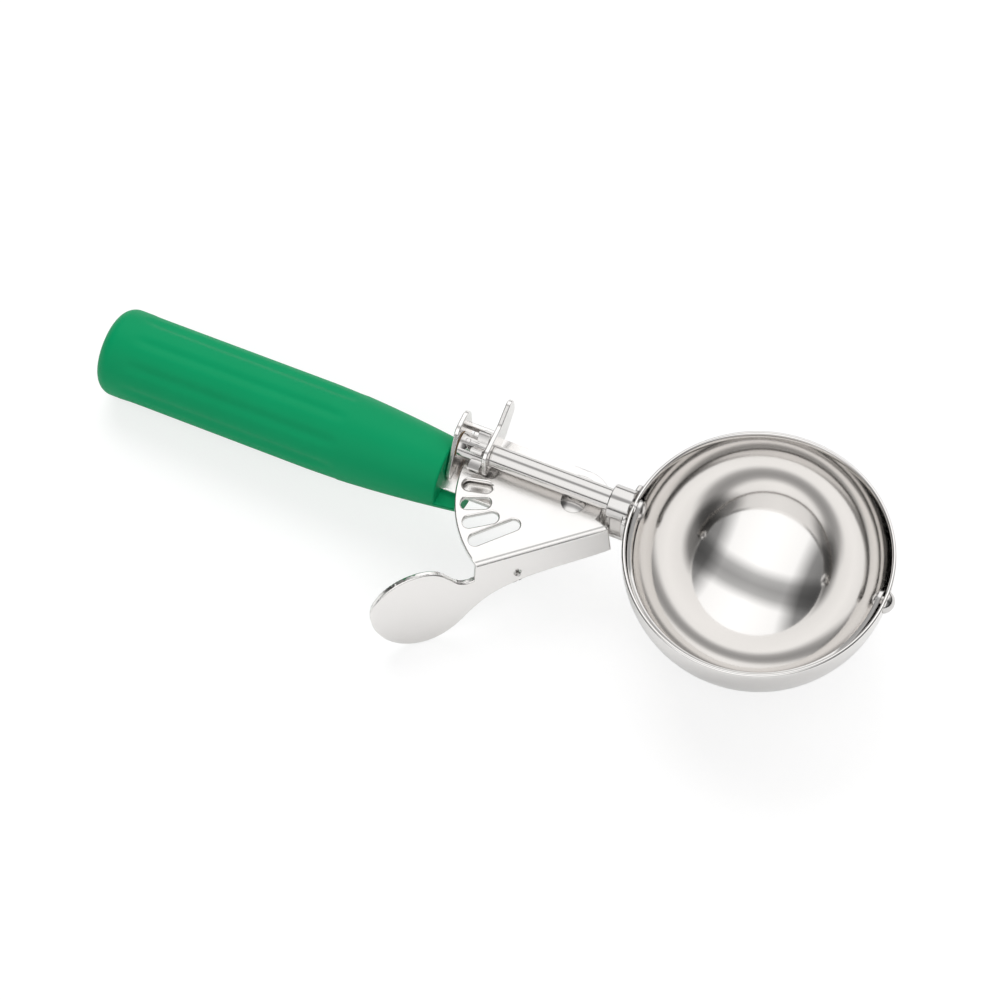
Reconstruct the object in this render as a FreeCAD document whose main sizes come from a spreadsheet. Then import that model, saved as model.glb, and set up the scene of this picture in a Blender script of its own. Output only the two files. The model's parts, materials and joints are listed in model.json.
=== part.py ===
import FreeCAD, Part
import math
import os
import Sketcher

# A lever ice cream scoop: green plastic handle, sheet steel frame, a bowl made by spinning,
# and a thumb lever whose slotted sector turns a small pinion. The pinion's rod sweeps a thin
# scraper round the bowl. Working axes: the origin is the middle of the ball, X runs along
# the spindle to the bowl's far tip, Z is up out of the open bowl, Y is away from the thumb.
# At the end every piece gets the same placement, which lays the scoop down on a table.

os.makedirs("parts", exist_ok=True)
doc = FreeCAD.newDocument("scoop")
V = FreeCAD.Vector

# Driving dimensions, in millimetres, degrees and counts
DIMENSIONS = {
    "bowl_bore": 65.0,
    "bowl_wall": 1.0,
    "rim_above_axis": 2.0,
    "rod_dia": 4.0,
    "running_clearance": 0.05,
    "seat_gap": 0.3,
    "tube_dia": 5.7,
    "sheet_thickness": 1.2,
    "ear_gap": 7.6,
    "ear_top_z": 4.9,
    "ear_tab_top_z": 6.6,
    "ear_near_y": -7.2,
    "bridge_top_z": -1.2,
    "horn_reach": 7.8,
    "horn_width": 6.8,
    "horn_top_z": 7.6,
    "neck_length": 5.5,
    "neck_width": 8.6,
    "neck_web_thickness": 4.3,
    "neck_foot_thickness": 1.6,
    "saddle_width": 13.8,
    "frame_thickness": 1.8,
    "frame_width": 18.6,
    "frame_far_edge": 8.4,
    "tang_width": 10.0,
    "tang_length": 62.0,
    "handle_length": 94.8,
    "handle_dia": 23.2,
    "handle_front_dia": 16.4,
    "handle_taper_length": 28.5,
    "handle_lip_length": 6.0,
    "handle_offset_y": -5.3,
    "handle_offset_z": -8.0,
    "butt_round": 4.0,
    "flute_count": 18,
    "flute_dia": 3.0,
    "flute_depth": 0.45,
    "flute_length": 60.0,
    "flute_from_butt": 8.0,
    "pivot_behind_neck": 9.5,
    "pivot_y": -2.0,
    "pivot_pin_dia": 4.0,
    "pivot_head_dia": 6.6,
    "pivot_head_height": 0.85,
    "pivot_washer_dia": 7.2,
    "lever_thickness": 1.5,
    "lever_top_z": -4.15,
    "lever_frame_gap": 0.85,
    "mesh_radius": 25.7,
    "slot_pitch": 11.3,
    "slot_count": 5,
    "slot_width": 3.3,
    "slot_length": 7.6,
    "slot_past_mesh": 2.5,
    "sector_rim": 1.5,
    "hub_radius": 7.6,
    "bend_angle": 40.2,
    "bend_offset": 9.8,
    "flange_slope": 76.0,
    "flange_height": 10.0,
    "flange_front_length": 6.0,
    "pad_height": 24.9,
    "spring_hole_u": 18.1,
    "spring_hole_w": 7.1,
    "tooth_count": 6,
    "tooth_root_width": 1.8,
    "tooth_tip_width": 1.0,
    "tooth_tip_radius": 5.8,
    "tooth_length": 3.0,
    "pinion_core_dia": 6.8,
    "cross_pin_dia": 1.2,
    "scraper_width": 12.0,
    "scraper_thickness": 1.1,
    "scraper_gap": 0.3,
    "scraper_rest_angle": 12.5,
    "tenon_dia": 2.8,
    "tenon_head_height": 1.1,
    "tip_pin_dia": 3.0,
    "tip_head_dia": 5.6,
    "tip_head_height": 1.9,
    "tip_inner_head_dia": 4.5,
    "coil_wire_dia": 0.9,
    "coil_turns": 3.0,
    "coil_pitch": 1.4,
    "spring_hook_x": 9.9,
    "spring_hook_y": 6.3,
    "rivet_dia": 2.4,
    "rivet_pitch": 6.0,
    "rivet_from_end": 2.6,
    "rivet_head_dia": 4.0,
    "rivet_head_height": 0.5,
}
sheet = doc.addObject("Spreadsheet::Sheet", "dims")
for row, (alias, number) in enumerate(DIMENSIONS.items(), start=1):
    sheet.set("A%d" % row, alias)
    sheet.set("B%d" % row, str(number))
    sheet.setAlias("B%d" % row, alias)
doc.recompute()


def size(alias):
    """The value that the sheet holds under this alias."""
    return float(sheet.get(alias))


# Sizes that follow from the driving ones
inner_radius = size("bowl_bore") / 2
outer_radius = inner_radius + size("bowl_wall")
sheet_t = size("sheet_thickness")
neck_rear_x = -outer_radius - size("neck_length")
pivot = V(neck_rear_x - size("pivot_behind_neck"), size("pivot_y"), 0)
teeth_centre_x = pivot.x - size("mesh_radius")
front_ear_x = teeth_centre_x + size("tooth_length") / 2 + size("seat_gap")
rear_ear_x = front_ear_x - size("ear_gap")
frame_front_x = neck_rear_x - sheet_t
rivet_x = frame_front_x - size("rivet_from_end")
lever_top = size("lever_top_z")
lever_bottom = lever_top - size("lever_thickness")
frame_top = lever_bottom - size("lever_frame_gap")
frame_bottom = frame_top - size("frame_thickness")
near_edge = size("frame_far_edge") - size("frame_width")
handle_shoulder_x = rear_ear_x - sheet_t - size("seat_gap")
slot_outer_radius = size("mesh_radius") + size("slot_past_mesh")
slot_inner_radius = slot_outer_radius - size("slot_length")
sector_radius = slot_outer_radius + size("sector_rim")
rod_bore_dia = size("rod_dia") + 2 * size("running_clearance")

# Names that the expressions below share
NECK_REAR = "(-1 * (dims.bowl_bore / 2 + dims.bowl_wall) - dims.neck_length)"
PIVOT_X = "(" + NECK_REAR + " - dims.pivot_behind_neck)"
FRONT_EAR = "(" + PIVOT_X + " - dims.mesh_radius + dims.tooth_length / 2 + dims.seat_gap)"
REAR_EAR = "(" + FRONT_EAR + " - dims.ear_gap)"
FRAME_FRONT = "(" + NECK_REAR + " - dims.sheet_thickness)"
FRAME_TOP = "dims.lever_top_z - dims.lever_thickness - dims.lever_frame_gap"
FRAME_BOTTOM = "(" + FRAME_TOP + " - dims.frame_thickness)"
BORE = "(dims.rod_dia + 2 * dims.running_clearance)"

finished = []


def keep(thing, label):
    """Give an object the name of its piece and list it for the export."""
    thing.Label = label
    finished.append(thing)
    return thing


def shaped(label, shape):
    """A piece whose shape is worked out here from the sheet's values."""
    thing = doc.addObject("Part::Feature", label)
    thing.Shape = shape
    return keep(thing, label)


def rod_along_x(start_x, end_x, dia, y=0.0, z=0.0):
    """A round bar parallel to the spindle."""
    return Part.makeCylinder(dia / 2, end_x - start_x, V(start_x, y, z), V(1, 0, 0))


def post(centre, bottom, top, dia):
    """A round bar parallel to Z."""
    return Part.makeCylinder(dia / 2, top - bottom, V(centre.x, centre.y, bottom), V(0, 0, 1))


def slab(low, high):
    """A box between two corners."""
    low, high = V(*low), V(*high)
    return Part.makeBox(high.x - low.x, high.y - low.y, high.z - low.z, low)


def expression_cylinder(name, axis_x, radius, height, base):
    """A Part::Cylinder whose radius, height and base point are bound to the sheet."""
    cylinder = doc.addObject("Part::Cylinder", name)
    if axis_x:
        cylinder.Placement.Rotation = FreeCAD.Rotation(V(0, 1, 0), 90)
    cylinder.setExpression("Radius", radius)
    cylinder.setExpression("Height", height)
    for letter, text in zip("xyz", base):
        cylinder.setExpression(".Placement.Base." + letter, text)
    return cylinder


def cut(label, base, tool):
    """A Part::Cut of two objects, kept as a piece."""
    result = doc.addObject("Part::Cut", label)
    result.Base = base
    result.Tool = tool
    return keep(result, label)


def plane_of(body, role):
    """One of a body's own origin planes."""
    return next(item for item in body.Origin.OriginFeatures if item.Role == role)


def new_sketch(body, name, role, offset=None):
    """A sketch on one of the body's origin planes, shifted along its normal by an expression."""
    sketch = body.newObject("Sketcher::SketchObject", name)
    sketch.AttachmentSupport = [(plane_of(body, role), "")]
    sketch.MapMode = "FlatFace"
    if offset:
        sketch.setExpression("AttachmentOffset.Base.z", offset)
    return sketch


def closed_outline(sketch, corners):
    """Straight edges through corners whose two coordinates are each an expression."""
    count = len(corners)
    first = sketch.GeometryCount
    for index in range(count):
        angle = 2 * math.pi * index / count
        following = 2 * math.pi * (index + 1) / count
        start = V(math.cos(angle), math.sin(angle), 0)
        end = V(math.cos(following), math.sin(following), 0)
        sketch.addGeometry(Part.LineSegment(start * 10, end * 10), False)
    for index in range(count):
        here = first + index
        following = first + (index + 1) % count
        sketch.addConstraint(Sketcher.Constraint("Coincident", here, 2, following, 1))
    for index, (across, up) in enumerate(corners):
        for kind, text in (("DistanceX", across), ("DistanceY", up)):
            number = sketch.addConstraint(Sketcher.Constraint(kind, -1, 1, first + index, 1, 1.0))
            sketch.setExpression("Constraints[%d]" % number, text)


def circle(sketch, dia, across, up):
    """A circle whose diameter and centre are expressions."""
    here = sketch.addGeometry(Part.Circle(V(1, 1, 0), V(0, 0, 1), 2), False)
    for constraint, text in (
        (Sketcher.Constraint("Diameter", here, 4.0), dia),
        (Sketcher.Constraint("DistanceX", -1, 1, here, 3, 1.0), across),
        (Sketcher.Constraint("DistanceY", -1, 1, here, 3, 1.0), up),
    ):
        number = sketch.addConstraint(constraint)
        sketch.setExpression("Constraints[%d]" % number, text)


# The handle: moulded plastic, turned outline with a tapered front and a domed butt. A slot
# takes the frame's tang, and a lip at the front runs on below the frame plate.
handle = keep(doc.addObject("PartDesign::Body", "handle_grip"), "handle_grip")
HANDLE_SHOULDER = "(" + REAR_EAR + " - dims.sheet_thickness - dims.seat_gap)"
HANDLE_FRONT = "(" + HANDLE_SHOULDER + " + dims.handle_lip_length)"
HANDLE_BUTT = "(" + HANDLE_SHOULDER + " - dims.handle_length)"
HANDLE_Y = "dims.handle_offset_y"
HANDLE_Z = "dims.handle_offset_z"
FULL_RADIUS = " + dims.handle_dia / 2"
profile = new_sketch(handle, "handle_outline", "XZ_Plane", "-1 * dims.handle_offset_y")
closed_outline(profile, [
    (HANDLE_FRONT, HANDLE_Z),
    (HANDLE_FRONT, HANDLE_Z + " + dims.handle_front_dia / 2"),
    (HANDLE_FRONT + " - dims.handle_taper_length", HANDLE_Z + FULL_RADIUS + " * 0.955"),
    (HANDLE_FRONT + " - dims.handle_taper_length * 1.5", HANDLE_Z + FULL_RADIUS),
    (HANDLE_BUTT + " + dims.butt_round", HANDLE_Z + FULL_RADIUS),
    (HANDLE_BUTT + " + dims.butt_round * 0.3", HANDLE_Z + FULL_RADIUS + " - dims.butt_round * 0.3"),
    (HANDLE_BUTT, HANDLE_Z + FULL_RADIUS + " - dims.butt_round"),
    (HANDLE_BUTT, HANDLE_Z),
])
turned = handle.newObject("PartDesign::Revolution", "handle_turned")
turned.Profile = profile
turned.ReferenceAxis = (profile, ["Edge8"])
turned.Angle = 360
doc.recompute()
SLOT_LOW = FRAME_BOTTOM + " - dims.seat_gap / 2"
SLOT_HIGH = FRAME_TOP + " + dims.seat_gap / 2"


def handle_pocket(name, offset, low, high, half_width, length):
    """A rectangular pocket from the front, centred on the handle in Y."""
    outline = new_sketch(handle, name + "_outline", "YZ_Plane", offset)
    near, far = HANDLE_Y + " - " + half_width, HANDLE_Y + " + " + half_width
    closed_outline(outline, [(near, low), (far, low), (far, high), (near, high)])
    pocket = handle.newObject("PartDesign::Pocket", name)
    pocket.Profile = outline
    pocket.setExpression("Length", length)
    doc.recompute()


handle_pocket(
    "above_lip", HANDLE_FRONT, SLOT_LOW, HANDLE_Z + " + dims.handle_dia", "dims.handle_dia",
    "dims.handle_lip_length",
)
handle_pocket(
    "tang_slot", HANDLE_SHOULDER, SLOT_LOW, SLOT_HIGH, "(dims.tang_width + dims.seat_gap) / 2",
    "dims.tang_length + dims.seat_gap",
)
flute_outline = new_sketch(
    handle, "flute_outline", "YZ_Plane", HANDLE_BUTT + " + dims.flute_from_butt + dims.flute_length"
)
circle(
    flute_outline,
    "dims.flute_dia",
    "dims.handle_offset_y",
    "dims.handle_offset_z + dims.handle_dia / 2 + dims.flute_dia / 2 - dims.flute_depth",
)
flute = handle.newObject("PartDesign::Pocket", "flute")
flute.Profile = flute_outline
flute.setExpression("Length", "dims.flute_length")
doc.recompute()
flutes = handle.newObject("PartDesign::PolarPattern", "flutes")
flutes.Originals = [flute]
flutes.Axis = (profile, ["Edge8"])
flutes.Angle = 360
flutes.setExpression("Occurrences", "dims.flute_count")
handle.Tip = flutes
doc.recompute()

# The frame: one flat strip of sheet steel with a rounded front end, narrowing to the tang
frame = keep(doc.addObject("PartDesign::Body", "frame_plate"), "frame_plate")
frame_outline = new_sketch(frame, "frame_outline", "XY_Plane", FRAME_BOTTOM)
TANG_NEAR = "dims.handle_offset_y - dims.tang_width / 2"
TANG_FAR = "dims.handle_offset_y + dims.tang_width / 2"
TANG_END = HANDLE_SHOULDER + " - dims.tang_length"
NEAR_EDGE = "dims.frame_far_edge - dims.frame_width"
closed_outline(frame_outline, [
    (FRAME_FRONT, NEAR_EDGE),
    (FRAME_FRONT, "dims.frame_far_edge"),
    (REAR_EAR, "dims.frame_far_edge"),
    (REAR_EAR, TANG_FAR),
    (TANG_END, TANG_FAR),
    (TANG_END, TANG_NEAR),
    (REAR_EAR, TANG_NEAR),
    (REAR_EAR, NEAR_EDGE),
])
RIVET_X = FRAME_FRONT + " - dims.rivet_from_end"
circle(frame_outline, "dims.pivot_pin_dia", PIVOT_X, "dims.pivot_y")
circle(frame_outline, "dims.rivet_dia", RIVET_X, "dims.rivet_pitch / 2")
circle(frame_outline, "dims.rivet_dia", RIVET_X, "-1 * dims.rivet_pitch / 2")
circle(
    frame_outline, "dims.coil_wire_dia + 1.5 * dims.seat_gap",
    PIVOT_X + " - dims.spring_hook_x", "dims.pivot_y + dims.spring_hook_y",
)
plate = frame.newObject("PartDesign::Pad", "frame_blank")
plate.Profile = frame_outline
plate.setExpression("Length", "dims.frame_thickness")
doc.recompute()


def upright_edges(shape, x, y):
    """Names of the edges that run along Z at this place."""
    names = []
    for index, edge in enumerate(shape.Edges, start=1):
        box = edge.BoundBox
        upright = box.ZLength > 0.1 and box.XLength < 1e-6 and box.YLength < 1e-6
        if upright and abs(box.XMin - x) < 1e-4 and abs(box.YMin - y) < 1e-4:
            names.append("Edge%d" % index)
    return names


front_corners = []
for corner_y in (near_edge, size("frame_far_edge")):
    front_corners += upright_edges(plate.Shape, frame_front_x, corner_y)
rounded_front = frame.newObject("PartDesign::Fillet", "frame_front_round")
rounded_front.Base = (plate, front_corners)
rounded_front.setExpression("Radius", "dims.pivot_y - (" + NEAR_EDGE + ")")
doc.recompute()


def rounded_wire(corners, radii):
    """A closed wire through corners, each rounded by its own radius where that is not 0."""
    count = len(corners)
    starts, ends, arcs = [], [], []
    for index in range(count):
        corner = corners[index]
        back = (corners[index - 1] - corner).normalize()
        ahead = (corners[(index + 1) % count] - corner).normalize()
        radius = radii[index]
        if radius == 0:
            starts.append(corner)
            ends.append(corner)
            arcs.append(None)
            continue
        half = back.getAngle(ahead) / 2
        reach = radius / math.tan(half)
        centre = corner + (back + ahead).normalize() * (radius / math.sin(half))
        middle = centre + (corner - centre).normalize() * radius
        starts.append(corner + back * reach)
        ends.append(corner + ahead * reach)
        arcs.append(Part.Arc(starts[-1], middle, ends[-1]).toShape())
    edges = []
    for index in range(count):
        if arcs[index]:
            edges.append(arcs[index])
        following = starts[(index + 1) % count]
        if (following - ends[index]).Length > 1e-6:
            edges.append(Part.LineSegment(ends[index], following).toShape())
    return Part.Wire(Part.__sortEdges__(edges))


def plate_across_x(start_x, outline, radii):
    """A sheet that stands square to the spindle, from its (y, z) outline."""
    wire = rounded_wire([V(start_x, y, z) for y, z in outline], radii)
    return Part.Face(wire).extrude(V(sheet_t, 0, 0))


# The pinion bracket: two ears joined by a low bridge behind the pinion. The rear ear caps the
# handle, has a slot for the tang and a small tab on top. The front ear ends in the long horn.
bridge_y = size("tooth_tip_radius") + size("seat_gap")
ear_top = size("ear_top_z")
ear_low = lever_top + 2 * size("seat_gap")
ear_near = size("ear_near_y")
tab_top = size("ear_tab_top_z")
tab_far = bridge_y + sheet_t
rear_ear = plate_across_x(
    rear_ear_x - sheet_t,
    [
        (ear_near, frame_bottom), (bridge_y - sheet_t, frame_bottom), (tab_far, ear_low),
        (tab_far, tab_top), (ear_near + tab_far, tab_top), (ear_near, lever_top),
    ],
    [1, 1.5, 2, 3, 3, 4],
)
tang_gap = size("seat_gap") / 2
tang_low = size("handle_offset_y") - size("tang_width") / 2 - tang_gap
tang_high = size("handle_offset_y") + size("tang_width") / 2 + tang_gap
tang_window = slab(
    (rear_ear_x - 2 * sheet_t, tang_low, frame_bottom - tang_gap),
    (rear_ear_x + sheet_t, tang_high, frame_top + tang_gap),
)
horn_end = bridge_y + size("horn_reach")
horn_low = size("horn_top_z") - size("horn_width")
front_ear = plate_across_x(
    front_ear_x,
    [
        (-ear_top, ear_low), (tab_far, ear_low), (horn_end, horn_low),
        (horn_end, size("horn_top_z")), (bridge_y, ear_top), (1 - ear_top, ear_top),
    ],
    [1.5, 3, 2.2, 2.2, 3, 2.5],
)
bridge = slab(
    (rear_ear_x - sheet_t / 2, bridge_y, ear_low),
    (front_ear_x + sheet_t / 2, bridge_y + sheet_t, size("bridge_top_z")),
)
bush_dia = size("rod_dia") + 2 * sheet_t
bracket_solid = rear_ear.fuse([bridge, front_ear]).cut(tang_window)
bracket_solid = bracket_solid.cut(rod_along_x(rear_ear_x - 2 * sheet_t, rear_ear_x + sheet_t, bush_dia))
bracket_solid = bracket_solid.cut(rod_along_x(front_ear_x - 1, front_ear_x + 2 * sheet_t, rod_bore_dia))
shaped("pinion_bracket", bracket_solid.removeSplitter())

# The tube between the bracket and the neck, and the plain bushes that the rod turns in
tube_outer = expression_cylinder(
    "tube_outer", True, "dims.tube_dia / 2",
    NECK_REAR + " - " + FRONT_EAR + " - dims.sheet_thickness",
    (FRONT_EAR + " + dims.sheet_thickness", "0", "0"),
)
tube_bore = expression_cylinder(
    "tube_bore", True, BORE + " / 2", NECK_REAR + " - " + REAR_EAR,
    (REAR_EAR + " + dims.ear_gap / 2", "0", "0"),
)
cut("spindle_tube", tube_outer, tube_bore)

BUSH_START = REAR_EAR + " - dims.sheet_thickness"
bush_outer = expression_cylinder(
    "bush_outer", True, "dims.rod_dia / 2 + dims.sheet_thickness", "dims.sheet_thickness",
    (BUSH_START, "0", "0"),
)
bush_bore = expression_cylinder(
    "bush_bore", True, BORE + " / 2", "dims.sheet_thickness * 3",
    (BUSH_START + " - dims.sheet_thickness", "0", "0"),
)
cut("rear_bush", bush_outer, bush_bore)

# The neck: a collar round the rod, a web down to a foot under the frame, and a curved
# saddle that fits the outside of the bowl
foot_bottom = frame_bottom - size("neck_foot_thickness")
foot_half = size("rivet_pitch") / 2 + size("rivet_head_dia") / 2
foot_start = rivet_x - size("rivet_head_dia") / 2
collar = rod_along_x(neck_rear_x, 0, size("neck_width"))
web_half = size("neck_web_thickness") / 2
web = slab((neck_rear_x, -web_half, foot_bottom), (0, web_half, 0))
foot = slab((foot_start, -foot_half, foot_bottom), (0, foot_half, frame_bottom))
saddle_shell = Part.makeSphere(outer_radius + sheet_t).common(
    rod_along_x(-2 * outer_radius, 0, size("saddle_width"), z=-web_half)
)
saddle_shell = saddle_shell.common(slab(
    (-2 * outer_radius, -outer_radius, -outer_radius),
    (0, outer_radius, size("rim_above_axis") - size("seat_gap")),
))
bowl_outside = Part.makeSphere(outer_radius).fuse(
    post(V(0, 0, 0), 0, 2 * size("rim_above_axis"), 2 * outer_radius)
)
neck_solid = collar.fuse([web, foot, saddle_shell]).cut(bowl_outside)
neck_solid = neck_solid.cut(slab(
    (-outer_radius * 0.8, -outer_radius, -2 * outer_radius), (outer_radius, outer_radius, outer_radius)
))
neck_solid = neck_solid.cut(rod_along_x(-2 * outer_radius, 0, rod_bore_dia))
rivet_places = [V(rivet_x, size("rivet_pitch") / 2 * side, 0) for side in (1, -1)]
for place in rivet_places:
    neck_solid = neck_solid.cut(post(place, foot_bottom - 1, frame_bottom + 1, size("rivet_dia")))
neck_solid = neck_solid.removeSplitter()
shaped("neck_saddle", neck_solid)


def head(base, direction, dia, height):
    """A low domed rivet head, a slice of a ball that stands on a base point."""
    ball_radius = ((dia / 2) ** 2 + height ** 2) / (2 * height)
    dome = Part.makeSphere(ball_radius, V(0, 0, height - ball_radius))
    dome = dome.common(Part.makeCylinder(dia, 2 * height))
    dome.Placement = FreeCAD.Placement(base, FreeCAD.Rotation(V(0, 0, 1), direction))
    return dome


neck_rivets = []
for place in rivet_places:
    shank = post(place, foot_bottom, frame_top, size("rivet_dia"))
    heads = [
        head(V(place.x, place.y, level), V(0, 0, side), size("rivet_head_dia"), size("rivet_head_height"))
        for level, side in ((frame_top, 1), (foot_bottom, -1))
    ]
    neck_rivets.append(shank.fuse(heads).removeSplitter())
shaped("neck_rivets", Part.makeCompound(neck_rivets))

# The bowl: half a ball with a short straight rim above its middle, holes for the rod and tip rivet
bowl = keep(doc.addObject("PartDesign::Body", "bowl"), "bowl")
section = new_sketch(bowl, "bowl_section", "XZ_Plane")
quarter = (math.radians(270), math.radians(360))
rim = size("rim_above_axis")
for radius in (outer_radius, inner_radius):
    ring = Part.Circle(V(0, 0, 0), V(0, 0, 1), radius)
    section.addGeometry(Part.ArcOfCircle(ring, *quarter), False)
    section.addGeometry(Part.LineSegment(V(radius, 0, 0), V(radius, rim, 0)), False)
section.addGeometry(Part.LineSegment(V(outer_radius, rim, 0), V(inner_radius, rim, 0)), False)
section.addGeometry(Part.LineSegment(V(0, -inner_radius, 0), V(0, -outer_radius, 0)), False)
outer_arc, outer_side, inner_arc, inner_side, rim_line, floor_line = range(6)
for one, end, other, start in (
    (outer_arc, 2, outer_side, 1), (outer_side, 2, rim_line, 1), (rim_line, 2, inner_side, 2),
    (inner_side, 1, inner_arc, 2), (inner_arc, 1, floor_line, 1), (floor_line, 2, outer_arc, 1),
):
    section.addConstraint(Sketcher.Constraint("Coincident", one, end, other, start))
for arc in (outer_arc, inner_arc):
    section.addConstraint(Sketcher.Constraint("Coincident", arc, 3, -1, 1))
    section.addConstraint(Sketcher.Constraint("PointOnObject", arc, 1, -2))
    section.addConstraint(Sketcher.Constraint("PointOnObject", arc, 2, -1))
section.addConstraint(Sketcher.Constraint("Vertical", outer_side))
section.addConstraint(Sketcher.Constraint("Horizontal", rim_line))
section.addConstraint(Sketcher.Constraint("Vertical", inner_side))
for constraint, text in (
    (Sketcher.Constraint("Radius", outer_arc, outer_radius), "dims.bowl_bore / 2 + dims.bowl_wall"),
    (Sketcher.Constraint("Radius", inner_arc, inner_radius), "dims.bowl_bore / 2"),
    (Sketcher.Constraint("DistanceY", -1, 1, outer_side, 2, rim), "dims.rim_above_axis"),
):
    number = section.addConstraint(constraint)
    section.setExpression("Constraints[%d]" % number, text)
spun = bowl.newObject("PartDesign::Revolution", "bowl_spun")
spun.Profile = section
spun.ReferenceAxis = (section, ["V_Axis"])
spun.Angle = 360
doc.recompute()
for name, dia, behind in (("rod_hole", BORE, True), ("tip_hole", "dims.tip_pin_dia", False)):
    hole_outline = new_sketch(bowl, name + "_outline", "YZ_Plane")
    hole_circle = hole_outline.addGeometry(Part.Circle(V(0, 0, 0), V(0, 0, 1), 2), False)
    hole_outline.addConstraint(Sketcher.Constraint("Coincident", hole_circle, 3, -1, 1))
    number = hole_outline.addConstraint(Sketcher.Constraint("Diameter", hole_circle, 4.0))
    hole_outline.setExpression("Constraints[%d]" % number, dia)
    hole = bowl.newObject("PartDesign::Pocket", name)
    hole.Profile = hole_outline
    hole.Type = "ThroughAll"
    hole.Reversed = not behind
    before = bowl.Shape.Volume
    doc.recompute()
    print(name, "takes", round(before - bowl.Shape.Volume, 2), "mm3")

# The thumb lever: one stamping. A flat sector with radial slots turns on the pivot, its
# straight side is folded down into a flange, and the flange runs out into the thumb pad.
bend = math.radians(size("bend_angle"))
slope = math.radians(size("flange_slope"))
along = V(-math.cos(bend), -math.sin(bend), 0)
outward = V(math.sin(bend), -math.cos(bend), 0)
down_slope = outward * math.cos(slope) + V(0, 0, -math.sin(slope))
face_normal = outward * math.sin(slope) + V(0, 0, math.cos(slope))
lever_t = size("lever_thickness")
bend_offset = size("bend_offset")
corner_u = math.sqrt(sector_radius ** 2 - bend_offset ** 2)
front_u = -size("flange_front_length")
mesh_radius = size("mesh_radius")
mesh_angle = -math.degrees(math.atan2(-pivot.y, mesh_radius))
pitch_radius = size("tooth_count") * mesh_radius * math.radians(size("slot_pitch")) / (2 * math.pi)
gear_ratio = 360 / size("tooth_count") / size("slot_pitch")
print("pitch radius", round(pitch_radius, 3), "ratio", round(gear_ratio, 4))


def polar(radius, angle, z=0.0):
    """A point at a radius from the pivot, its angle turned from -X towards -Y in degrees."""
    a = math.radians(angle)
    return V(pivot.x - radius * math.cos(a), pivot.y - radius * math.sin(a), z)


def fold_point(u, w):
    """A point on the outer face of the flange, u along the fold and w down the slope."""
    foot = V(pivot.x, pivot.y, lever_top) + outward * bend_offset
    return foot + along * u + down_slope * w


bar_half = (mesh_radius * math.radians(size("slot_pitch")) - size("slot_width")) / 2
edge_side = V(-math.sin(math.radians(mesh_angle)), math.cos(math.radians(mesh_angle)), 0) * bar_half
edge_outer = polar(math.sqrt(sector_radius ** 2 - bar_half ** 2), mesh_angle) + edge_side
edge_inner = polar(slot_inner_radius - 2 * bar_half, mesh_angle) + edge_side
hub_side = pivot + V(0, size("hub_radius"), 0)
fold_corner = fold_point(corner_u, 0)
fold_corner.z = 0
fold_front = fold_point(front_u, 0)
fold_front.z = 0
corner_angle = math.degrees(math.atan2(pivot.y - fold_corner.y, pivot.x - fold_corner.x))
arc_middle = polar(sector_radius, (corner_angle + mesh_angle) / 2)
sector_edges = [
    Part.Arc(fold_corner, arc_middle, edge_outer).toShape(),
    Part.LineSegment(edge_outer, edge_inner).toShape(),
    Part.LineSegment(edge_inner, hub_side).toShape(),
    Part.LineSegment(hub_side, pivot).toShape(),
    Part.LineSegment(pivot, fold_front).toShape(),
    Part.LineSegment(fold_front, fold_corner).toShape(),
]
sector = Part.Face(Part.Wire(sector_edges)).extrude(V(0, 0, lever_t))
sector.translate(V(0, 0, lever_bottom))
sector = sector.fuse(post(pivot, lever_bottom, lever_top, 2 * size("hub_radius")))
for index in range(int(size("slot_count"))):
    angle = mesh_angle + (index + 0.5) * size("slot_pitch")
    longer = size("sector_rim") * max(0, index - 2) ** 2
    half = size("slot_width") / 2
    inner = slot_inner_radius - longer + half
    outer = slot_outer_radius - half
    window = slab((-outer, -half, lever_bottom - 1), (-inner, half, lever_top + 1))
    for radius in (inner, outer):
        window = window.fuse(post(V(-radius, 0, 0), lever_bottom - 1, lever_top + 1, size("slot_width")))
    window.rotate(V(0, 0, 0), V(0, 0, 1), angle)
    window.translate(pivot)
    sector = sector.cut(window)
flange_height = size("flange_height")
pad_drop = size("pad_height") - flange_height
lower_edge = [
    (front_u, flange_height * 0.84), (corner_u - 10.6, flange_height),
    (corner_u - 2.0, flange_height + pad_drop * 0.18), (corner_u + 3.0, flange_height + pad_drop * 0.41),
    (corner_u + 8.5, flange_height + pad_drop * 0.72), (corner_u + 15.5, flange_height + pad_drop * 0.89),
    (corner_u + 22.5, flange_height + pad_drop * 0.77), (corner_u + 27.6, flange_height + pad_drop * 0.30),
    (corner_u + 27.8, 6.7), (corner_u + 22.6, 0.7), (corner_u + 15.6, -1.6), (corner_u + 9.4, 0.0),
    (corner_u + 4.4, 5.4), (corner_u + 1.0, 5.4),
]
curve = Part.BSplineCurve()
curve.interpolate([fold_point(u, w) for u, w in lower_edge])
flange_edges = [
    curve.toShape(),
    Part.LineSegment(fold_point(*lower_edge[-1]), fold_point(corner_u, 0)).toShape(),
    Part.LineSegment(fold_point(corner_u, 0), fold_point(front_u, 0)).toShape(),
    Part.LineSegment(fold_point(front_u, 0), fold_point(*lower_edge[0])).toShape(),
]
flange = Part.Face(Part.Wire(flange_edges)).extrude(face_normal * -lever_t)
leg_exit = fold_point(size("spring_hole_u"), size("spring_hole_w"))
leg_hole = Part.makeCylinder(
    size("coil_wire_dia"), 6 * lever_t, leg_exit - face_normal * 3 * lever_t, face_normal
)
pivot_bore_dia = size("pivot_pin_dia") + 2 * size("running_clearance")
pivot_bore = post(pivot, lever_bottom - 1, lever_top + 1, pivot_bore_dia)
lever_solid = sector.fuse(flange).cut(leg_hole).cut(pivot_bore).removeSplitter()
shaped("thumb_lever", lever_solid)

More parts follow.
